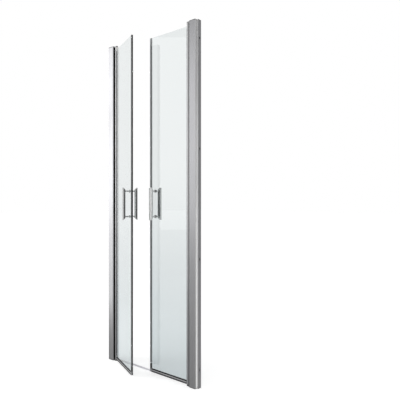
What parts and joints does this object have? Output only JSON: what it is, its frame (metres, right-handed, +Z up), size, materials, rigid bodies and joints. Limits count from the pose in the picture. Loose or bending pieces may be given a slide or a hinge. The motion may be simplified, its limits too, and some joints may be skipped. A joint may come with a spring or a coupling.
{
  "type": "hinged shower door",
  "caption": "Double-leaf hinged alcove shower door: clear glass leaves that swing both ways on pivot posts, with back-to-back bar handles and a low threshold.",
  "frame": {"origin": "on the floor, at the middle of the door's width, on the middle line of the wall channels", "axes": "+X to the right along the width, seen from outside, +Y into the shower, +Z up"},
  "size_m": [0.73, 0.181, 1.95],
  "materials": {
    "channel_aluminium": "silver anodised, satin",
    "post_aluminium": "silver anodised, satin",
    "barrel_aluminium": "silver anodised, satin",
    "rail_aluminium": "silver anodised, satin",
    "handle_aluminium": "polished and anodised",
    "threshold_aluminium": "silver anodised, satin",
    "screw_steel": "stainless",
    "black_epdm": "matt",
    "dark_plastic": "fine grain",
    "block_silver": "die-cast, satin silver",
    "cover_plastic": "silver grey",
    "white_nylon": "natural nylon",
    "leaf_glass": "clear toughened safety glass",
    "edge_grey": "satin dark grey",
    "edge_black": "satin black",
    "cap_grey": "silver grey",
    "clear_vinyl": "clear flexible vinyl",
    "clear_nylon": "clear",
    "drip_grey": "matt"
  },
  "bodies": {
    "frame": {"left_wall_channel": "channel_aluminium", "right_wall_channel": "channel_aluminium", "left_post": "post_aluminium", "right_post": "post_aluminium", "left_post_gasket": "black_epdm", "right_post_gasket": "black_epdm", "left_top_cap": "dark_plastic", "right_top_cap": "dark_plastic", "left_bottom_cap": "dark_plastic", "right_bottom_cap": "dark_plastic", "left_top_pivot_block": "block_silver", "right_top_pivot_block": "block_silver", "left_bottom_pivot_block": "dark_plastic", "right_bottom_pivot_block": "dark_plastic", "left_pivot_pins": "screw_steel", "right_pivot_pins": "screw_steel", "left_cap_screws": "screw_steel", "right_cap_screws": "screw_steel", "left_fixing_screws": "screw_steel", "right_fixing_screws": "screw_steel", "left_screw_covers": "cover_plastic", "right_screw_covers": "cover_plastic", "threshold_rail": "threshold_aluminium"},
    "left_leaf": {"left_hinge_barrel": "barrel_aluminium", "left_top_bush": "white_nylon", "left_bottom_bush": "white_nylon", "left_glass": "leaf_glass", "left_glazing_gasket": "black_epdm", "left_edge_profile": "edge_grey", "left_edge_seal": "clear_vinyl", "left_edge_foot": "edge_black", "left_rail_end_cap": "cap_grey", "left_bottom_rail": "rail_aluminium", "left_rail_gasket": "black_epdm", "left_drip_seal": "drip_grey", "left_outer_handle": "handle_aluminium", "left_inner_handle": "handle_aluminium", "left_handle_posts": "handle_aluminium", "left_handle_studs": "screw_steel", "left_handle_washers": "clear_nylon"},
    "right_leaf": {"right_hinge_barrel": "barrel_aluminium", "right_top_bush": "white_nylon", "right_bottom_bush": "white_nylon", "right_glass": "leaf_glass", "right_glazing_gasket": "black_epdm", "right_edge_profile": "edge_grey", "right_edge_seal": "clear_vinyl", "right_edge_foot": "edge_black", "right_rail_end_cap": "cap_grey", "right_bottom_rail": "rail_aluminium", "right_rail_gasket": "black_epdm", "right_drip_seal": "drip_grey", "right_outer_handle": "handle_aluminium", "right_inner_handle": "handle_aluminium", "right_handle_posts": "handle_aluminium", "right_handle_studs": "screw_steel", "right_handle_washers": "clear_nylon"}
  },
  "joints": [
    {"name": "left_leaf_hinge", "type": "hinge", "parent": "frame", "child": "left_leaf", "pos_m": [-0.295, -0.011, 0], "axis": [0, 0, 1], "range_deg": [-67.5, 112.5]},
    {"name": "right_leaf_hinge", "type": "hinge", "parent": "frame", "child": "right_leaf", "pos_m": [0.295, -0.011, 0], "axis": [0, 0, 1], "range_deg": [-90, 90]}
  ]
}
